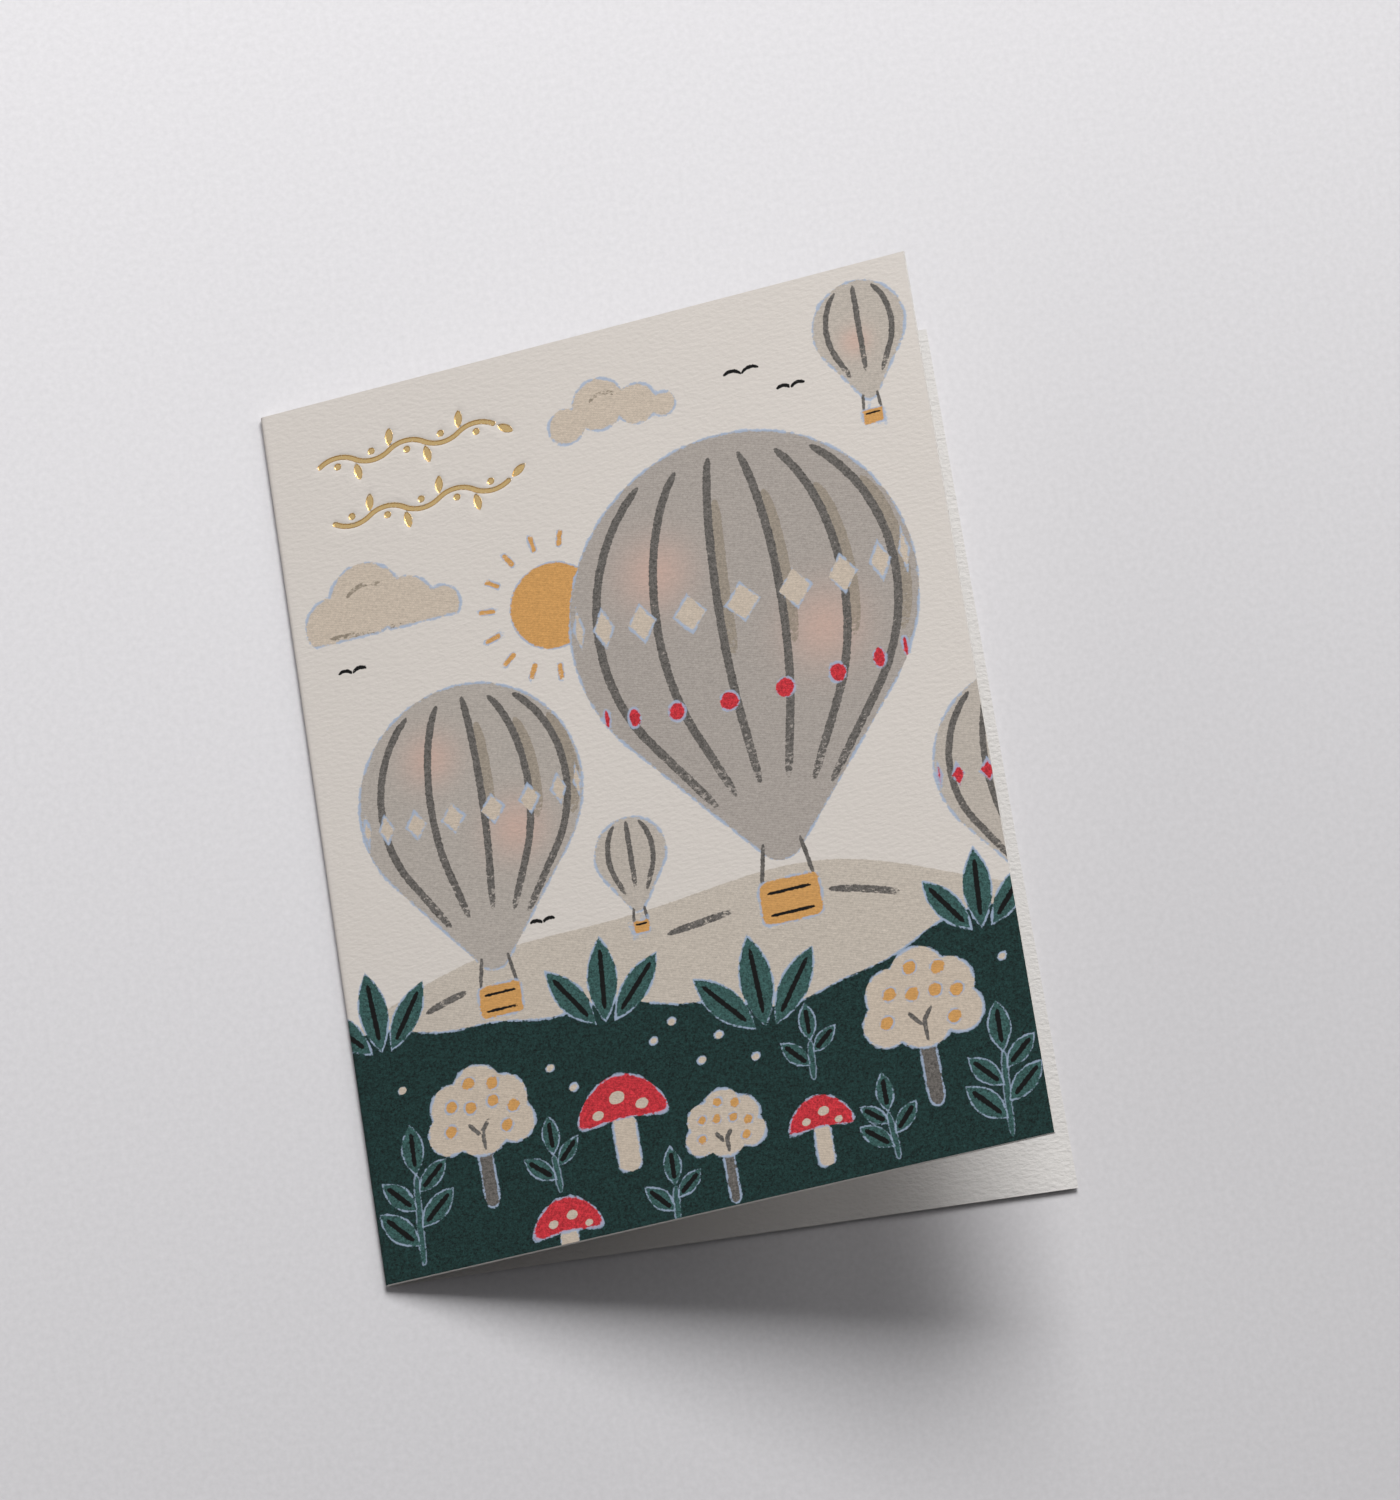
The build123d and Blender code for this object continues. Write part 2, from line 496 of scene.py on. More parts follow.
balloons = [
    {"place": (77, 99), "radius": 30, "drop": 40, "mouth": 4.2, "basket": (10.5, 7.5), "ink": "warmGrey",
     "gores": (-0.84, -0.5, -0.14, 0.22, 0.58, 0.88),
     "bands": [(-0.12, "kite", 9, "offWhite", 3.4, 3.0), (0.42, "oval", 8, "red", 1.7, 1.7)]},
    {"place": (26, 78), "radius": 19.5, "drop": 27, "mouth": 3, "basket": (7.5, 5.5), "ink": "lightGrey",
     "gores": (-0.8, -0.36, 0.1, 0.52, 0.86), "bands": [(0.05, "kite", 8, "offWhite", 2.5, 2.1)]},
    {"place": (104, 141.5), "radius": 8, "drop": 11.5, "mouth": 1.6, "basket": (3.6, 2.6), "ink": "beige",
     "gores": (-0.7, 0.0, 0.7), "bands": []},
    {"place": (119, 63), "radius": 15, "drop": 20, "mouth": 2.6, "basket": (6, 5), "ink": "beige",
     "gores": (-0.82, -0.42, 0.0), "bands": [(0.0, "kite", 7, "red", 1.9, 1.6)]},
    {"place": (51.5, 62), "radius": 6.2, "drop": 9, "mouth": 1.2, "basket": (2.8, 2.2), "ink": "beige",
     "gores": (-0.62, 0.0, 0.62), "bands": []},
]


def sideSlope(balloon):
    # sine and cosine of the lean of the line that joins its two circles
    sine = (balloon["radius"] - balloon["mouth"]) / balloon["drop"]
    return sine, math.sqrt(1 - sine * sine)


def balloonDistance(x, y, balloon):
    # beside the joining side the distance to its line, above it to the big circle, below to the small
    sine, cosine = sideSlope(balloon)
    aside, down = np.abs(x - balloon["place"][0]), balloon["place"][1] - y
    along = down * cosine - aside * sine
    toSide = aside * cosine + down * sine - balloon["radius"]
    toBig = np.hypot(aside, down) - balloon["radius"]
    toSmall = np.hypot(aside, down - balloon["drop"]) - balloon["mouth"]
    return np.where(along < 0, toBig, np.where(along > balloon["drop"] * cosine, toSmall, toSide))


def halfWidthAt(balloon, down):
    # of the envelope, at that distance under its middle
    radius, (sine, cosine) = balloon["radius"], sideSlope(balloon)
    circle = np.sqrt(np.maximum(radius**2 - down**2, 0))
    return np.where(down < radius * sine, circle, (radius - down * sine) / cosine)


def puffs(x, y, circles):
    # to the nearest of the circles
    return np.min([np.hypot(x - cx, y - cy) - radius for cx, cy, radius in circles], axis=0)


def crownDistance(x, y, tree):
    (left, low), size = tree["place"], tree["size"]
    circles = [(left + cx * size, low + cy * size, radius * size) for cx, cy, radius in crownPuffs]
    return puffs(x, y, circles)


sun = {"place": (45, 107), "radius": 7.5, "rays": 11.6}
blushes = [(90, 92, 6.5), (63, 108, 6), (33, 71, 5), (20, 86, 4.5), (103, 139, 2.6)]
clouds = [
    [(7, 113, 5), (13, 116, 6.5), (20, 113.5, 5), (26, 112, 3.4)],
    [(52, 137, 3.2), (58, 139.5, 4.6), (64.5, 138, 3.6), (69, 136.8, 2.2)],
]
cloudFoot = 3.2  # from a cloud's first middle down to its flat underside
trees = [
    {"place": (19.5, 24), "size": 1.0, "trunk": 9},
    {"place": (95.5, 25.5), "size": 1.1, "trunk": 10},
    {"place": (60, 13), "size": 0.74, "trunk": 8},
]
crownPuffs = [
    (-5.6, -1.6, 3.6), (-4.2, 2.6, 4.0), (0.2, 4.6, 4.4), (4.4, 2.4, 4.1), (5.8, -1.8, 3.5), (0, -1.6, 4.8),
]


def hillTop(x):
    # a long wave and a short one over a level line, and so is the meadow's top
    return 47 + 7 * np.sin(x / 27 - 0.6) + 2 * np.sin(x / 11)


def meadowTop(x):
    return 37 + 4.2 * np.sin(x / 19 + 0.9) + 1.6 * np.sin(x / 8.5 + 2) + 0.5 * np.sin(x / 3.1)


def fields(x, y):
    # the big shapes, as layers from back to front, each a list of (mm from its outline, ink, blue outline)
    disc = np.hypot(x - sun["place"][0], y - sun["place"][1]) - sun["radius"]
    puffy = [np.maximum(puffs(x, y, cloud), cloud[0][1] - cloudFoot - y) for cloud in clouds]
    hill = (y - hillTop(x)) * 0.93
    return {
        "far": [(disc, "ochre", 0.6), (hill, "hill", 0)] + [(puff, "offWhite", 1) for puff in puffy],
        "sail": [(balloonDistance(x, y, balloon), balloon["ink"], 0.9) for balloon in balloons],
        "meadow": [(y - meadowTop(x), "green", 0.8)],
        "crown": [(crownDistance(x, y, tree), "offWhite", 1) for tree in trees],
    }


def storeFields(mesh, places):
    # each layer becomes a distance and an ink at every point, those of its nearest shape
    x, y = places[:, 0], places[:, 1]
    for name, shapes in fields(x, y).items():
        distances = np.array([distance for distance, _, _ in shapes])
        looks = np.array([(*inks[colour], outline) for _, colour, outline in shapes])
        store(mesh, name + "Edge", "FLOAT", "POINT", distances.min(axis=0))
        store(mesh, name + "Ink", "FLOAT_COLOR", "POINT", looks[distances.argmin(axis=0)])
    blush = np.zeros(len(x))
    for cx, cy, reach in blushes:
        blush += np.exp(-((x - cx) ** 2 + (y - cy) ** 2) / reach**2)
    store(mesh, "blush", "FLOAT", "POINT", blush)


# The small shapes are marks. A face keeps at its corners its nearest mark's own u and v, from -1 to 1 over
# the mark, so that the outline is as sharp as the formula and not as the mesh.

marks = {"wash": [], "line": [], "shape": [], "detail": []}
forms = {"leaf": (2, 1), "oval": (2, 2), "stroke": (9, 2), "block": (7, 7), "kite": (1, 1)}


def mark(layer, form, place, turn, long, wide, colour, outline=0.0, grain=0.25, bow=0.0):
    # long and wide are half lengths, turn is in degrees
    made = {"form": forms.get(form, form), "place": place, "turn": turn, "long": long, "wide": wide,
            "ink": colour, "outline": outline, "grain": grain, "bow": bow}
    marks[layer].append(made)
    return made


def line(layer, points, wide, colour, outline=0.0, grain=0.5):
    # a stroke along a curve: u runs along it and v across it, and the longer it is, the later it narrows
    points = np.array(points, float)
    steps = np.hypot(*np.diff(points, axis=0).T)
    long = steps.sum() / 2
    form = (max(4, 0.5 * long / wide), 2)
    mark(layer, form, None, 0, long, wide, colour, outline, grain).update(points=points, steps=steps)


def markPlace(item, x, y):
    # u and v of a point for one mark
    if item["place"]:
        along, aside = turned(x, y, item["place"], math.radians(item["turn"]))
        return along / item["long"], aside / item["wide"]
    starts, steps = item["points"][:-1], item["steps"]
    ways = np.diff(item["points"], axis=0) / steps[:, None]
    dx, dy = x[:, None] - starts[:, 0], y[:, None] - starts[:, 1]
    along = dx * ways[:, 0] + dy * ways[:, 1]
    aside = dy * ways[:, 0] - dx * ways[:, 1]
    held = np.clip(along, 0, steps)
    nearest = np.hypot(along - held, aside).argmin(axis=1)
    row = np.arange(len(x))
    along, aside, held = along[row, nearest], aside[row, nearest], held[row, nearest]
    free = (nearest == 0) & (along < 0) | (nearest == len(steps) - 1) & (along > steps[-1])
    # past a corner between two steps the distance is to the corner itself
    aside = np.where(free, aside, np.sign(aside) * np.hypot(along - held, aside))
    before = np.concatenate([[0], np.cumsum(steps)[:-1]])[nearest]
    return (before + np.where(free, along, held)) / item["long"] - 1, aside / item["wide"]


def storeMarks(mesh, places, margin=1.25):
    # the nearest mark of each face is the one with the least distance from the face's middle
    corner, start, face = cornersOf(mesh)
    middle = np.add.reduceat(places[corner], start) / np.bincount(face)[:, None]
    printed = (middle[:, 2] > innerRadius + sheet["faceBand"]) & (middle[:, 0] > -printing["wrap"])
    for layer, items in marks.items():
        nearest, chosen = np.full(len(start), margin), np.full(len(start), -1)
        for number, item in enumerate(items):
            points = item.get("points", np.array([item["place"]]))
            room = margin + 1 + item["wide"] * (1 + abs(item["bow"]))
            room += item["long"] if item["place"] else 0
            least, most = points.min(axis=0) - room, points.max(axis=0) + room
            inside = np.all((middle[:, :2] > least) & (middle[:, :2] < most), axis=1)
            near = np.flatnonzero(printed & inside)
            u, v = markPlace(item, middle[near, 0], middle[near, 1])
            distance = shapeDistance(u, v, item["long"], item["wide"], *item["form"], item["bow"])
            better = distance < nearest[near]
            nearest[near[better]] = distance[better]
            chosen[near[better]] = number
        place, form, look = np.zeros((3, len(corner), 4))
        place[:], form[:] = (9, 9, 1, 1), (2, 2, 0, 0)  # far from any mark
        order = np.argsort(chosen[face], kind="stable")
        bounds = np.searchsorted(chosen[face][order], np.arange(len(items) + 1))
        for number, item in enumerate(items):
            mine = order[bounds[number] : bounds[number + 1]]
            u, v = markPlace(item, places[corner[mine], 0], places[corner[mine], 1])
            place[mine, 0], place[mine, 1], place[mine, 2:] = u, v, (item["long"], item["wide"])
            form[mine] = (*item["form"], item["bow"], item["grain"])
            look[mine] = (*inks[item["ink"]], item["outline"])
        for name, values in (("Place", place), ("Form", form), ("Ink", look)):
            store(mesh, layer + name, "FLOAT_COLOR", "CORNER", values)


def arc(place, radius, first, last, squash=1.0, steps=14):
    # points at that radius from a place, between two angles in degrees
    turn = np.radians(np.linspace(first, last, steps))
    return np.stack([place[0] + radius * np.cos(turn), place[1] + radius * squash * np.sin(turn)], 1)


def drawBalloon(balloon):
    (x0, y0), radius, mouth = balloon["place"], balloon["radius"], balloon["mouth"]
    size = radius / balloons[0]["radius"]
    for gore in balloon["gores"]:
        # a gore line keeps its share of the half width on the way down
        down = np.linspace(-0.9 + 0.1 * abs(gore), 1.0 + 0.12 * abs(gore), 24) * radius
        x = x0 + gore * halfWidthAt(balloon, down)
        line("line", np.stack([x, y0 - down], 1), 0.72 * size**0.3, "crayon", grain=0.42)
        if size > 0.4 and gore > -0.3:
            line("wash", np.stack([x + 1.25, y0 - down], 1)[3:15], 1.15 * size**0.3, "shade", grain=0.42)
    mouthY = y0 - balloon["drop"]
    wide, high = balloon["basket"]
    basketY = mouthY - mouth - 0.55 * radius**0.5 - high / 2
    for side in (-1, 1):
        foot = (x0 + side * wide * 0.42, basketY + high * 0.45)
        top = (x0 + side * mouth * 0.75, mouthY - mouth * 0.2)
        line("line", [foot, top], 0.24 + 0.12 * size, "crayon", grain=0.35)
    mark("shape", "block", (x0, basketY), 0, wide / 2, high / 2, "ochre", 0.9)
    for row in range(2 if size > 0.3 else 1):
        level = basketY + (0.22 - 0.5 * row) * high
        mark("detail", "stroke", (x0, level), 0, wide * 0.36, 0.12 + 0.16 * size, "black", grain=0.35)
    for level, form, count, colour, long, aside in balloon["bands"]:
        # a row of small shapes on a level, closer together to the sides as on a ball
        width = halfWidthAt(balloon, level * radius)
        for turn in np.linspace(-1.25, 1.25, count):
            x, narrow = x0 + width * math.sin(turn), max(math.cos(turn), 0.3)
            at = (x, y0 - level * radius - 0.1 * radius * math.cos(turn))
            mark("shape", form, at, 90, long, aside * narrow, colour, 0.85)


def drawSky():
    for turn in np.linspace(76, 268, 9):
        at, long = offset(*sun["place"], sun["rays"], turn), 1.9 if round(turn) % 2 else 1.5
        mark("line", "stroke", at, turn, long, 0.5, "ochre", 0.5, 0.45)
    for x, y, size in ((83, 138.5, 1.0), (91, 134, 0.8), (35, 54, 0.7), (9, 104, 0.8)):
        for side, first, last in ((-1.75, 130, 35), (1.75, 50, 145)):
            wing = arc((x + side * size, y - 1.3 * size), 2.1 * size, first, last)
            line("detail", wing, 0.3, "black", grain=0.3)
    line("line", [(6, 110.8), (14, 110.2), (22, 110.6), (27, 110.4)], 0.4, "shade", grain=0.8)
    line("line", arc((13.5, 115.4), 4.2, 150, 30, 0.8), 0.4, "shade", grain=0.7)
    line("line", arc((59, 139), 2.9, 150, 20, 0.8), 0.36, "shade", grain=0.7)
    for first, last, drop in ((13, 20.5, 4.6), (55.5, 67, 5), (83.5, 95.5, 5)):
        x = np.linspace(first, last, 20)
        line("line", np.stack([x, hillTop(x) - drop], 1), 0.6, "crayon", grain=0.5)


def leaf(layer, at, turn, long, wide, vein, veinWide=0.42, outline=0.4):
    mark(layer, "leaf", at, turn, long, wide, "teal", outline, 0.2)
    mark("detail", "stroke", at, turn, vein, veinWide, "black", 0, 0.3)


def plant(foot, high, lean, leaves, leafLong):
    # a bowed stem with leaves on both sides and one at its tip
    x0, y0 = foot
    rise = np.linspace(0, 1, 12)
    bowed = np.stack([x0 + lean * rise**1.6, y0 + high * rise], 1)
    line("line", bowed, 0.55, "teal", 0.3, 0.25)
    for number in range(leaves):
        share = (number + 1) / (leaves + 1.1)
        x, y = x0 + lean * share**1.6, y0 + high * share
        side = 1 if number % 2 else -1
        turn = 90 - math.degrees(math.atan(lean / high)) - side * 46
        size = leafLong * (1.05 - 0.35 * share)
        leaf("shape", offset(x, y, size + 0.5, turn), turn, size, size * 0.46, size * 0.7)
    tip = (bowed[-1, 0], bowed[-1, 1] + leafLong * 0.95)
    leaf("shape", tip, 90 - lean, leafLong * 0.95, leafLong * 0.42, leafLong * 0.62, 0.4)


def toadstool(foot, high, cap, spots):
    # a stroke under a bowed oval, with ovals on it
    x0, y0 = foot
    mark("line", "stroke", (x0, y0 + high / 2), 90, high / 2, cap * 0.13, "offWhite", 0.9, 0.25)
    mark("shape", "oval", (x0, y0 + high), 0, cap / 2, cap * 0.24, "red", 0.9, 0.2, bow=0.85)
    for dx, dy, size in spots:
        at = (x0 + dx * cap, y0 + high + dy * cap)
        mark("detail", "oval", at, 10, size * cap, size * cap * 0.8, "offWhite", 0.0, 0.15)


fruit = [
    (-5.4, -1.4), (-4.6, 3.0), (-0.9, 6.2), (-1.3, 2.3), (3.2, 5.0), (5.8, 1.0), (4.4, -2.4), (2.3, 2.2),
]
dots = [
    (50.5, 30), (58, 25), (7, 31.5), (32.5, 29.5), (61.5, 28.5), (67, 23.5), (110, 30.5), (54, 32.5),
    (36, 25.5),
]
toadstools = [  # foot, height and width, and where its spots are and how big, in widths
    ((43.5, 9.5), 9.5, 15.5, ((-0.27, 0.05, 0.062), (-0.04, 0.2, 0.085), (0.22, 0.08, 0.07))),
    ((76, 3), 7, 11, ((-0.22, 0.08, 0.07), (0.06, 0.19, 0.085), (0.27, 0.02, 0.06))),
    ((31.5, -4), 6.5, 12, ((-0.2, 0.1, 0.07), (0.08, 0.18, 0.08), (0.3, 0.02, 0.055))),
]
plants = [  # foot, height, lean, leaves and their length
    ((6.5, 2), 15, 0.8, 4, 4.5), ((31.2, 8.6), 6.5, -0.3, 2, 3.5), ((50, -1), 6.5, 0.4, 2, 3.5),
    ((76, 17.5), 6.5, 0.4, 2, 3.4), ((87.8, 1.5), 8, -0.6, 3, 3.5), ((106.8, 1), 14, 0.8, 4, 4.5),
]
clumps = [(43, 6.4, 4), (69.5, 7.0, -3), (107.5, 6.0, 3), (4.5, 6.2, -4)]  # of three blades, on its edge


def drawMeadow():
    for item in toadstools:
        toadstool(*item)
    draw = np.random.default_rng(5)
    for tree in trees:
        x, y = tree["place"]
        size, foot = tree["size"], y - 6.2 * tree["size"] - tree["trunk"]
        half = (y - foot) / 2 - 1
        mark("line", "stroke", (x, (y + foot) / 2 - 1), 91, half, 1.25 * size, "crayon", 0.8, 0.3)
        branches = (
            ((x + 0.2, y - 5.4 * size), (x + 0.1, y - 2.2 * size), (x + 1.5 * size, y - 0.4 * size)),
            ((x - 0.3, y - 2.9 * size), (x - 2.2 * size, y - 0.6 * size)),
        )
        for branch in branches:
            line("detail", branch, 0.38, "crayon", grain=0.4)
        for cx, cy in fruit:
            at = (x + (cx + draw.uniform(-0.3, 0.3)) * size, y + (cy + draw.uniform(-0.3, 0.3)) * size)
            mark("shape", "oval", at, 40, 1.15 * size, 1.05 * size, "ochre", 0.5, 0.2)
    for item in plants:
        plant(*item)
    for x, high, lean in clumps:
        for side, layer in ((-1, "line"), (0, "shape"), (1, "line")):
            turn = 90 - lean - 38 * side
            reach = high * (1.0 if side else 1.12)
            at = offset(x + 1.7 * side, float(meadowTop(x)) - 3.5, reach, turn)
            leaf(layer, at, turn, reach, reach * 0.36, reach * 0.7, outline=0.55)
    for dot in dots:
        mark("shape", "oval", dot, 20, 0.75, 0.62, "offWhite", 0.5, 0.2)


drawSky()
for balloon in balloons:
    drawBalloon(balloon)
drawMeadow()


# Materials.

class Graph:
    # the nodes of one material or of the world
    def __init__(self, owner):
        owner.use_nodes = True
        self.owner, self.tree = owner, owner.node_tree
        self.tree.nodes.clear()

    def node(self, kind, settings=None, sockets=None, output=0):
        # a node of that type: its settings are set first, then its sockets get their values or links
        made = self.tree.nodes.new("ShaderNode" + kind)
        for name, value in (settings or {}).items():
            setattr(made, name, value)
        for name, value in (sockets or {}).items():
            if isinstance(value, Level):
                self.tree.links.new(value.socket, made.inputs[name])
            else:
                made.inputs[name].default_value = value
        return Level(self, made.outputs[output]) if len(made.outputs) else None

    def others(self, level):
        # all the outputs of the node that this one comes from
        return [Level(self, socket) for socket in level.socket.node.outputs]

    def math(self, operation, *values):
        return self.node("Math", {"operation": operation}, dict(enumerate(values)))

    def attribute(self, name, output="Vector"):
        return self.node("Attribute", {"attribute_name": name}, None, output)

    def colourAndFourth(self, name):
        colour, _, _, fourth = self.others(self.attribute(name))
        return colour, fourth

    def split(self, vector):
        return self.others(self.node("SeparateXYZ", None, {"Vector": vector}))

    def scaled(self, colour, level):
        return self.node("VectorMath", {"operation": "SCALE"}, {0: colour, "Scale": level})

    def mix(self, share, first, second):
        return self.node("Mix", {"data_type": "RGBA"}, {0: share, 6: first, 7: second}, 2)

    def bump(self, height):
        return self.node("Bump", None, {"Strength": 1.0, "Distance": mm, "Height": height})

    def inMm(self):
        return self.scaled(self.node("TexCoord", None, None, "Object"), 1 / mm)

    def surface(self, sockets):
        self.node("OutputMaterial", None, {"Surface": self.node("BsdfPrincipled", None, sockets)})
        return self.owner

    def noise(self, place, size, detail=2.0, rough=0.5, stretch=(1, 1, 1)):
        # 0 to 1 about 0.5, with grains of that many mm
        step = [part / size for part in stretch]
        scaled = self.node("VectorMath", {"operation": "MULTIPLY"}, {0: place, 1: step})
        sockets = {"Vector": scaled, "Scale": 1.0, "Detail": detail, "Roughness": rough}
        return self.node("TexNoise", None, sockets)


def operation(name, reflected=False):
    # a method that puts the number and another into one Math node of that kind
    return lambda self, other: self.graph.math(name, *((other, self) if reflected else (self, other)))


class Level:
    # a number in the shader, so that sums are written as sums
    def __init__(self, graph, socket):
        self.graph, self.socket = graph, socket

    __add__ = __radd__ = operation("ADD")
    __sub__, __rsub__ = operation("SUBTRACT"), operation("SUBTRACT", True)
    __mul__ = __rmul__ = operation("MULTIPLY")
    __truediv__, __rtruediv__ = operation("DIVIDE"), operation("DIVIDE", True)
    __pow__, least, most = operation("POWER"), operation("MINIMUM"), operation("MAXIMUM")

    def __abs__(self):
        return self.graph.math("ABSOLUTE", self)

    def rise(self, low, high):
        # 0 at low, 1 at high, smooth between
        ends = dict(enumerate((self, low, high, 0.0, 1.0)))
        return self.graph.node("MapRange", {"interpolation_type": "SMOOTHSTEP"}, ends)


def rgba(colour):
    return [float(part) for part in colour] + [1.0]


paper = {
    "colour": ink(205, 202, 199),
    "coverColour": ink(209, 202, 195),
    "coreColour": ink(213, 209, 204),  # on the cut edges
    "felt": 0.62,  # the size of the waves of its surface, which lie along X
    "feltDepth": 0.2,
    "coverDepth": 0.078,  # of the same waves on the cover, which the press has smoothed
    "fibre": 0.3,
    "fibreDepth": 0.015,
    "cloud": 24,  # the size of the faint clouds in its tone
    "roughness": 0.86,
    "gloss": 0.22,
}


printing = {
    "wrap": 1.5,  # how far round the bend the marks go on
    "fieldGrain": 0.12,
    "ragged": 0.42,  # how far an ink's edge wanders
    "soft": 0.06,  # and over how much it fades
    "screen": 0.39,  # between the rows of dots that the inks are laid in
    "screenWay": (0.95, 0.31),  # up the card and across it
    "screenDepth": 0.08,
    "finestGrain": 0.2,  # the sizes of its grains
    "fineGrain": 0.45,
    "dryGrain": 0.5,
    "wavyGrain": 1.3,
    "pressureGrain": 2.1,
    "washCover": 0.8,
    "edging": 0.82,  # how much the pale blue lines cover
    "thinnest": 0.03,  # half of their width where the pressure is low,
    "pressedFrom": 0.38,  # and from here on they widen with it
    "widening": 1.05,
}


def markLevel(graph, layer):
    # the marks' shapeDistance again, in nodes: mm from the outline of this spot's mark, and its ink
    at, wide = graph.colourAndFourth(layer + "Place")
    form, grain = graph.colourAndFourth(layer + "Form")
    colour, outline = graph.colourAndFourth(layer + "Ink")
    u, v, long = graph.split(at)
    p, q, bow = graph.split(form)
    side = abs(v - bow * (1 - u * u))
    length = abs(u)
    uPower, vPower = length ** (p - 1), side ** (q - 1)
    slope = ((p * uPower / long) ** 2 + (q * vPower / wide) ** 2) ** 0.5
    distance = (uPower * length + vPower * side - 1) / slope.most(0.001)
    return distance, colour, outline, grain * (0.64 + 0.34 * u * u * u)  # a stroke ends drier


def fieldLevel(graph, layer):
    colour, outline = graph.colourAndFourth(layer + "Ink")
    return graph.attribute(layer + "Edge", "Fac"), colour, outline, printing["fieldGrain"]


def printedInks(graph, place, colour):
    # each layer is laid over the last: its edge is roughened, its cover is broken by the paper's grain, and
    # a pale blue line, broken too, straddles its edge
    fine = graph.noise(place, printing["fineGrain"], 2.0, 0.7)
    finest = graph.noise(place, printing["finestGrain"], 1.0, 0.5)
    wavy = graph.noise(place, printing["wavyGrain"])
    dry = graph.noise(place, printing["dryGrain"], 3.0, 0.65, (0.6, 1, 1))
    pressure = graph.noise(place, printing["pressureGrain"], 3.0, 0.65)
    ragged = (wavy - 0.5) * 0.5 + (fine - 0.5) * 0.7
    speckle = (fine - 0.5) * 2.1 + (finest - 0.5) * 1.3
    wider, soft = (pressure - printing["pressedFrom"]).most(0.0) * printing["widening"], printing["soft"]

    across, up, _ = graph.split(place)
    turns, (straight, lean) = math.tau / printing["screen"], printing["screenWay"]
    rows = graph.math("SINE", (up * straight + across * lean) * turns)
    dots = graph.math("SINE", (across * straight - up * lean) * turns)
    screen = (rows * 0.6 + rows * dots * 0.4) * printing["screenDepth"]

    for name in ("far", "sail", "meadow", "wash", "line", "crown", "shape", "detail"):
        level = markLevel if name in marks else fieldLevel
        distance, pigment, outline, grain = level(graph, name)
        body = 1 - (distance + ragged * printing["ragged"]).rise(-soft, soft)
        cover = 1 - (grain * 1.15 - dry).rise(-0.08, 0.06)
        if name == "wash":
            cover = cover * printing["washCover"]
        light = graph.node("RGBToBW", None, {"Color": pigment})
        depth = (2.0 - 3.2 * light ** 0.5).most(0.25)  # the darker an ink, the more its grain shows
        tint = (1 + speckle * depth + screen).most(0.1)
        colour = graph.mix(body * cover, colour, graph.scaled(pigment, tint))
        reach = soft + outline * (printing["thinnest"] + wider)
        band = 1 - abs(distance + ragged * 0.6 + 0.04).rise(reach * 0.5, reach + soft)
        kept = (pressure * 0.6 + dry * 0.5).rise(0.46, 0.56) * outline.rise(0.0, 0.5)
        colour = graph.mix(band * kept * printing["edging"], colour, rgba(inks["paleBlue"]))
        if name == "sail":
            blush = graph.attribute("blush", "Fac").least(1.0) * (1 - distance.rise(-0.5, 0.3))
            colour = graph.mix(blush * (0.45 + fine * 0.5), colour, rgba(inks["blush"]))
    return colour


def paperMaterial(name, printed):
    graph = Graph(bpy.data.materials.new(name))
    place = graph.attribute("sheetPlace")
    felt = graph.noise(place, paper["felt"], 3.0, 0.5, (0.55, 1, 1))
    fibre = graph.noise(place, paper["fibre"], 2.0, 0.6, (0.7, 1, 1))
    cloudy = graph.noise(place, paper["cloud"])
    tone = 1 + (cloudy - 0.5) * 0.03 + (fibre - 0.5) * 0.05 + (felt - 0.5) * 0.03
    across, _, radius = graph.split(place)
    onFace = radius.rise(outerRadius - 0.03, outerRadius - 0.015)
    cut = radius.rise(innerRadius + 0.01, innerRadius + 0.03) * (1 - onFace)
    bare = graph.mix(cut, rgba(paper["colour"]), rgba(paper["coreColour"]))
    colour, depth = graph.scaled(bare, tone), paper["feltDepth"]
    if printed:
        cover = onFace * across.rise(-0.9, -0.6)
        ground = graph.scaled(paper["coverColour"].tolist(), tone)
        colour = graph.mix(cover, colour, printedInks(graph, place, ground))
        depth = depth + cover * (paper["coverDepth"] - depth)
    height = felt * depth + fibre * paper["fibreDepth"]
    return graph.surface({
        "Base Color": colour,
        "Roughness": paper["roughness"] + (fibre - 0.5) * 0.08,
        "Specular IOR Level": paper["gloss"],
        "Normal": graph.bump(height),
    })


foil = {"colour": (0.79, 0.56, 0.255), "roughness": 0.25, "grain": 0.3, "waves": 1.6}


def foilMaterial():
    graph = Graph(bpy.data.materials.new("gold_foil"))
    place = graph.inMm()
    grain = graph.noise(place, foil["grain"], 3.0, 0.6)
    broad = graph.noise(place, foil["waves"])
    height = grain * 0.006 + broad * 0.01
    return graph.surface({
        "Base Color": graph.scaled(foil["colour"], 1 + (grain - 0.5) * 0.12 + (broad - 0.5) * 0.12),
        "Metallic": 1.0,
        "Roughness": foil["roughness"] + (grain - 0.5) * 0.16,
        "Normal": graph.bump(height),
    })


# The foil lines the pressed strokes: rings of an outline, each further in and lower than the last.

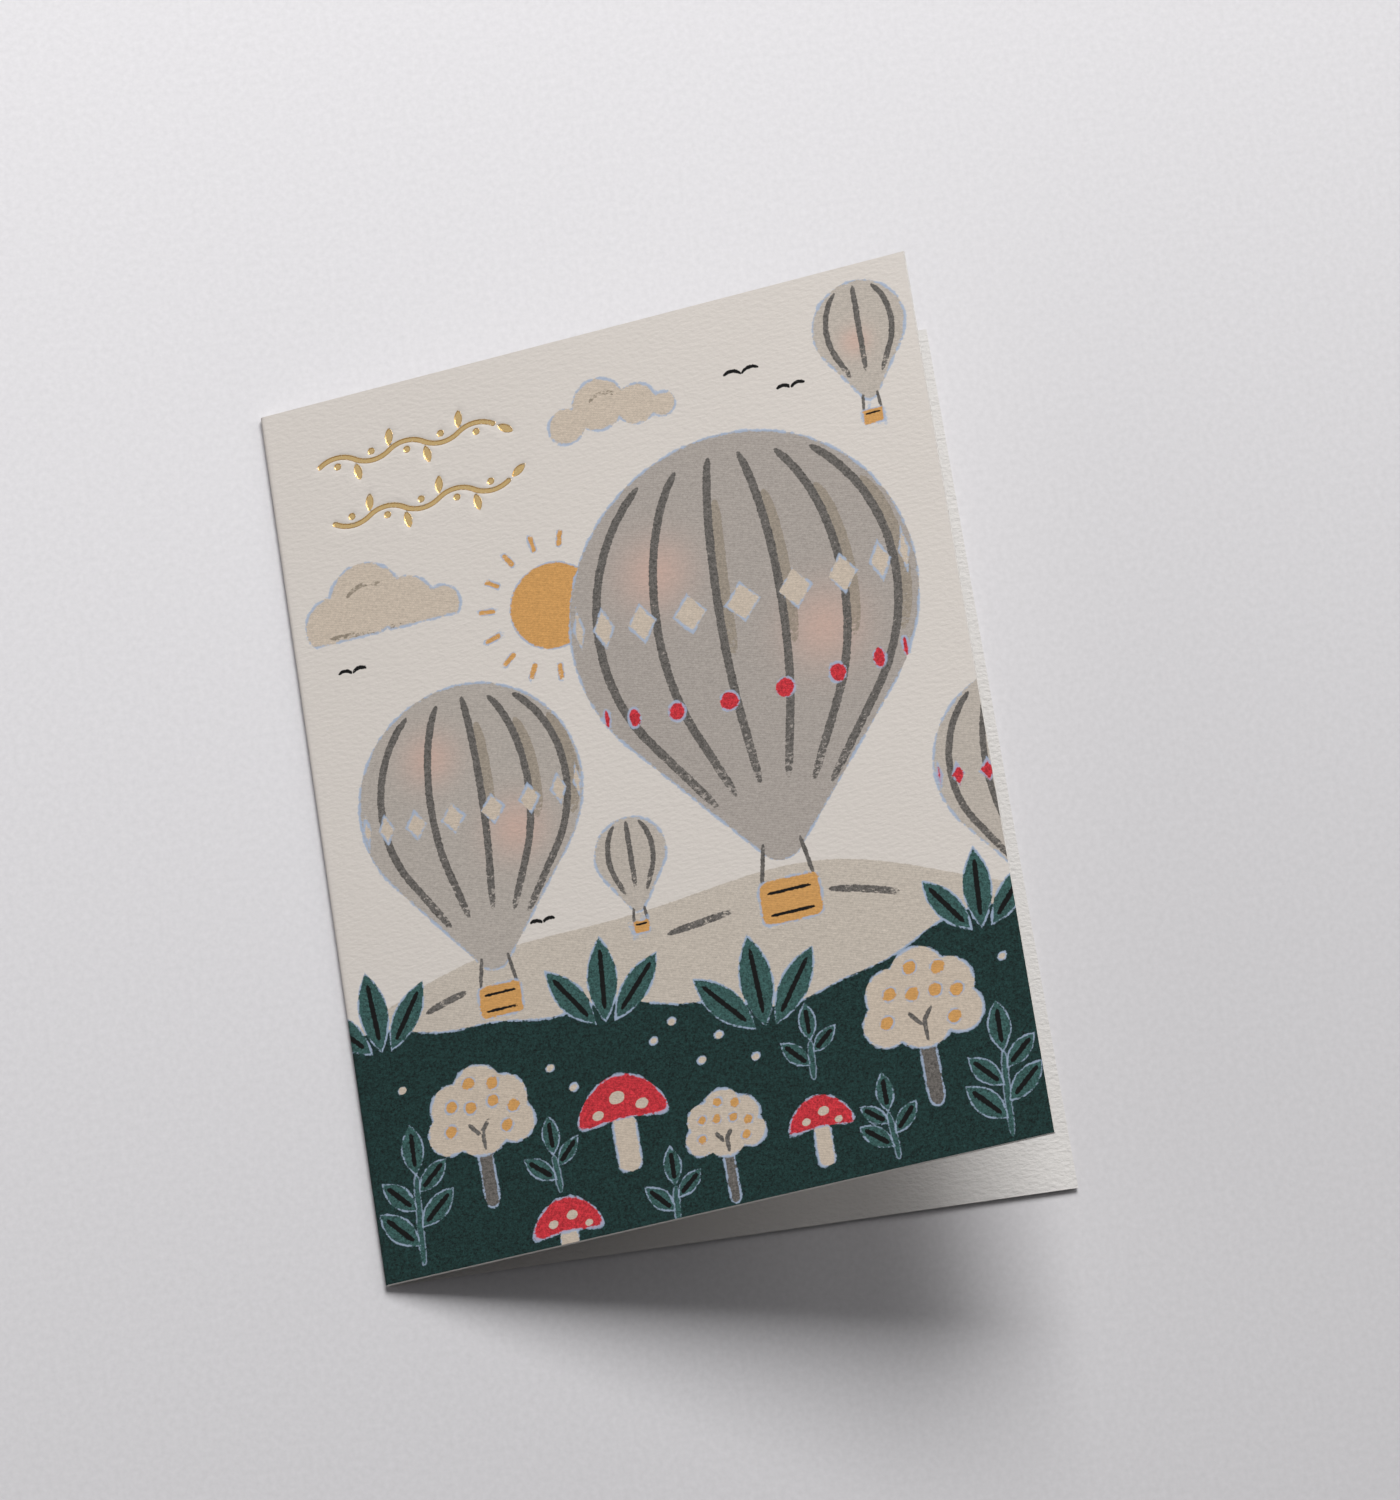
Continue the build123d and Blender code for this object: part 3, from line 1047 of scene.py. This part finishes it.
def foilRings(outline, core, points, faces):
    # a ring lies at its inset from the outline on the way to the core, at most all the way; its depth is
    # the halo's and then the pressed depth by 3s^2 - 2s^3 over the run of the wall
    way = core - outline
    room = np.hypot(*way.T)
    rings = []
    for inset in sprigs["insets"]:
        at = np.minimum(inset, room)
        flat = outline + way * (at / np.maximum(room, tiny))[:, None]
        depth = haloDepth(-at) + sprigs["depth"] * smooth(0, sprigs["wallRun"], at)
        rings.append(np.column_stack([flat, depth - sprigs["rim"] * (inset < 0)]))
    rings = np.array(rings)
    first, (count, around) = len(points), rings.shape[:2]
    grid = first + np.arange(count * around).reshape(count, around)
    ahead = np.roll(grid, -1, axis=1)
    quads = np.stack([grid[:-1], ahead[:-1], ahead[1:], grid[1:]], -1)
    return np.concatenate([points, rings.reshape(-1, 3)]), faces + quads.reshape(-1, 4).tolist()


def stemOutline(across, up, firstBend):
    # up one side of the line, round its end, and back down the other side
    middle = stemLine(across, up, firstBend, sprigs["stemSteps"])
    way = np.gradient(middle, axis=0)
    way /= np.hypot(*way.T)[:, None]
    side = np.stack([way[:, 1], -way[:, 0]], 1) * stroke / 2
    turn = np.linspace(0, math.pi, sprigs["capSteps"] + 1)[1:-1, None]
    lastCap, firstCap = (
        end + np.cos(turn) * edge + np.sin(turn) * out * stroke / 2
        for end, edge, out in ((middle[-1], side[-1], way[-1]), (middle[0], -side[0], -way[0]))
    )
    outline = np.concatenate([middle + side, lastCap, (middle - side)[::-1], firstCap])
    last, first = (np.repeat(end, len(turn), 0) for end in (middle[-1:], middle[:1]))
    return outline, np.concatenate([middle, last, middle[::-1], first])


def leafletOutline(footX, footY, turn):
    # two equal arcs from the foot to the tip; the core is the straight line between
    half = math.asin(leafletLength / 2 / leafletRadius)
    swing = np.linspace(-half, half, sprigs["ringTurns"] // 2 + 1)
    along = leafletRadius * np.sin(swing) + leafletLength / 2
    aside = leafletRadius * np.cos(swing) - leafletRadius + leafletHalf
    along = np.concatenate([along, along[-2:0:-1]])
    aside = np.concatenate([-aside, aside[-2:0:-1]])
    frame = np.array([[math.cos(turn), math.sin(turn)], [-math.sin(turn), math.cos(turn)]])
    foot = np.array([footX, footY])
    outline = foot + np.stack([along, aside], 1) @ frame
    held = np.clip(along, sprigs["coreEnd"], leafletLength - sprigs["coreEnd"])
    return outline, foot + np.stack([held, aside * 0], 1) @ frame


def buildFoil(material):
    # the rings of every stroke, placed under the front leaf's face and welded, under a film's thickness
    turn = np.linspace(0, math.tau, sprigs["ringTurns"] + 1)[:-1]
    ring = np.stack([np.cos(turn), np.sin(turn)], 1) * sprigs["berry"] / 2
    strokes = [stemOutline(*stem) for stem in stems] + [leafletOutline(*leaflet) for leaflet in leaflets]
    strokes += [(ring + berry, np.repeat([berry], len(ring), 0)) for berry in berries]
    points, faces = np.zeros((0, 3)), []
    for outline, core in strokes:
        points, faces = foilRings(outline, core, points, faces)
    placed = onSheet(points[:, 0], points[:, 1], outerRadius - points[:, 2], 0)
    piece = newPiece("foil_sprigs", placed, faces, material)
    shape = bmesh.new()
    shape.from_mesh(piece.data)
    bmesh.ops.remove_doubles(shape, verts=shape.verts, dist=sprigs["weld"] * mm)
    bmesh.ops.dissolve_degenerate(shape, edges=shape.edges, dist=sprigs["weld"] / 4 * mm)
    shape.to_mesh(piece.data)
    shape.free()
    piece.data.shade_smooth()
    thick = piece.modifiers.new("film", "SOLIDIFY")
    thick.thickness = sprigs["foil"] * mm
    thick.offset = -1
    return piece


# Put together.

frontPaper, backPaper = paperMaterial("printed_cover", True), paperMaterial("bare_paper", False)
frontLeaf, frontPoints = buildFrontLeaf(frontPaper)
backLeaf = buildBackLeaf(backPaper)
foilSprigs = buildFoil(foilMaterial())
print("pieces made:", {piece.name: len(piece.data.polygons) for piece in (frontLeaf, backLeaf, foilSprigs)})

storeFields(frontLeaf.data, sheetPlaces(frontPoints))
storeMarks(frontLeaf.data, sheetPlaces(frontPoints))
for piece in (frontLeaf, backLeaf):
    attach(piece, "root")
    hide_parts("card")
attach(foilSprigs, "root")
print("print stored:", {layer: len(items) for layer, items in marks.items()}, "marks")


# The room: a pale floor with a painted falloff of light across its colour, two broad soft lights and a pale
# world.

studio = {
    "floor": 3000,
    "floorColour": (0.618, 0.606, 0.621),
    "paintedFalloffLevels": (0.86, 1.21),  # painted light falloff: the floor's colour times these, darker toward the lower right and lighter toward the upper left
    "paintedFalloffWay": (-0.68, 0.73),
    "paintedFalloffReach": 300,
    "mottle": 0.2,
    "lamps": (  # the way to each from the card, its distance, its side and its power
        ((0.22, 0.63, 0.75), 1700, 900, 34.8),
        ((0.80, 0.25, 0.52), 1900, 800, 6.0),
    ),
    "surround": 0.045,
    "leftGlow": 0.9,  # low on the left, beside the fold
    "mirroredLow": 0.05,  # what the foil mirrors, near the floor and overhead
    "mirroredHigh": 0.62,
    "backdrop": 0.6,  # what the camera sees past the floor
}


def buildRoom():
    graph = Graph(bpy.data.materials.new("pale_floor"))
    place = graph.inMm()
    x, y, _ = graph.split(place)
    reach, (dim, pale) = studio["paintedFalloffReach"], studio["paintedFalloffLevels"]
    # painted light: the floor's colour is darker toward the lower right and lighter toward the upper left,
    # standing in for the falloff of the lamps' light
    along = (x * studio["paintedFalloffWay"][0] + y * studio["paintedFalloffWay"][1]).rise(-reach, reach)
    mottle = 1 + (graph.noise(place, 1.0, 3.0, 0.6) - 0.5) * studio["mottle"]
    paleFloor = graph.surface({
        "Base Color": graph.scaled(studio["floorColour"], (dim + (pale - dim) * along) * mottle),
        "Roughness": 0.95,
        "Specular IOR Level": 0.1,
    })
    corners = np.array([(-1, -1, 0), (1, -1, 0), (1, 1, 0), (-1, 1, 0)]) * studio["floor"] / 2 * mm
    floor = newPiece("floor", corners, [(0, 1, 2, 3)], paleFloor)

    for number, (way, distance, side, power) in enumerate(studio["lamps"], 1):
        lamp = bpy.data.lights.new("soft_light_" + str(number), "AREA")
        lamp.size, lamp.energy = side * mm, power
        light = newObject(lamp.name, lamp)
        way = Vector(way).normalized()
        light.location = way * distance * mm
        light.rotation_euler = way.to_track_quat("Z", "Y").to_euler()

    world = bpy.data.worlds.new("pale_world")
    graph = Graph(world)
    x, _, z = graph.split(graph.node("TexCoord", None, None, "Generated"))
    mirrored = studio["mirroredLow"] + (studio["mirroredHigh"] - studio["mirroredLow"]) * z.rise(0.1, 0.8)
    spread = studio["surround"] + studio["leftGlow"] * (0 - x).rise(0.45, 1.0)
    isCamera, _, _, isGlossy, *_ = graph.others(graph.node("LightPath"))
    strength = spread + (mirrored - spread) * isGlossy + (studio["backdrop"] - spread) * isCamera
    glow = graph.node("Background", None, {"Color": (0.97, 0.975, 1.0, 1), "Strength": strength})
    graph.node("OutputWorld", None, {"Surface": glow})
    bpy.context.scene.world = world


buildRoom()


# The camera, solved from the card's eight corners in the photo.

view = {
    "elevation": 71.786,
    "azimuth": -12.83,
    "roll": 4.34,
    "distance": 1269.8,
    "aim": (5.96, 1.47, 19.0),
    "lens": 185.66,
}


def placeCamera():
    # it looks down at the aim from that azimuth, elevation and distance, rolled about its view line
    azimuth, tilt, roll = (math.radians(view[key]) for key in ("azimuth", "elevation", "roll"))
    turn = Matrix.Rotation(azimuth, 4, "Z") @ Matrix.Rotation(math.pi / 2 - tilt, 4, "X")
    place = Vector(view["aim"]) + turn.to_3x3() @ Vector((0, 0, view["distance"]))
    data = bpy.data.cameras.new("camera")
    data.lens, data.sensor_width, data.sensor_fit = view["lens"], 36, "AUTO"
    camera = newObject("camera", data)
    camera.matrix_world = Matrix.Translation(place * mm) @ turn @ Matrix.Rotation(roll, 4, "Z")
    bpy.context.scene.camera = camera


placeCamera()
print("floor, lights and camera placed")
bpy.context.scene.view_settings.view_transform = "Standard"
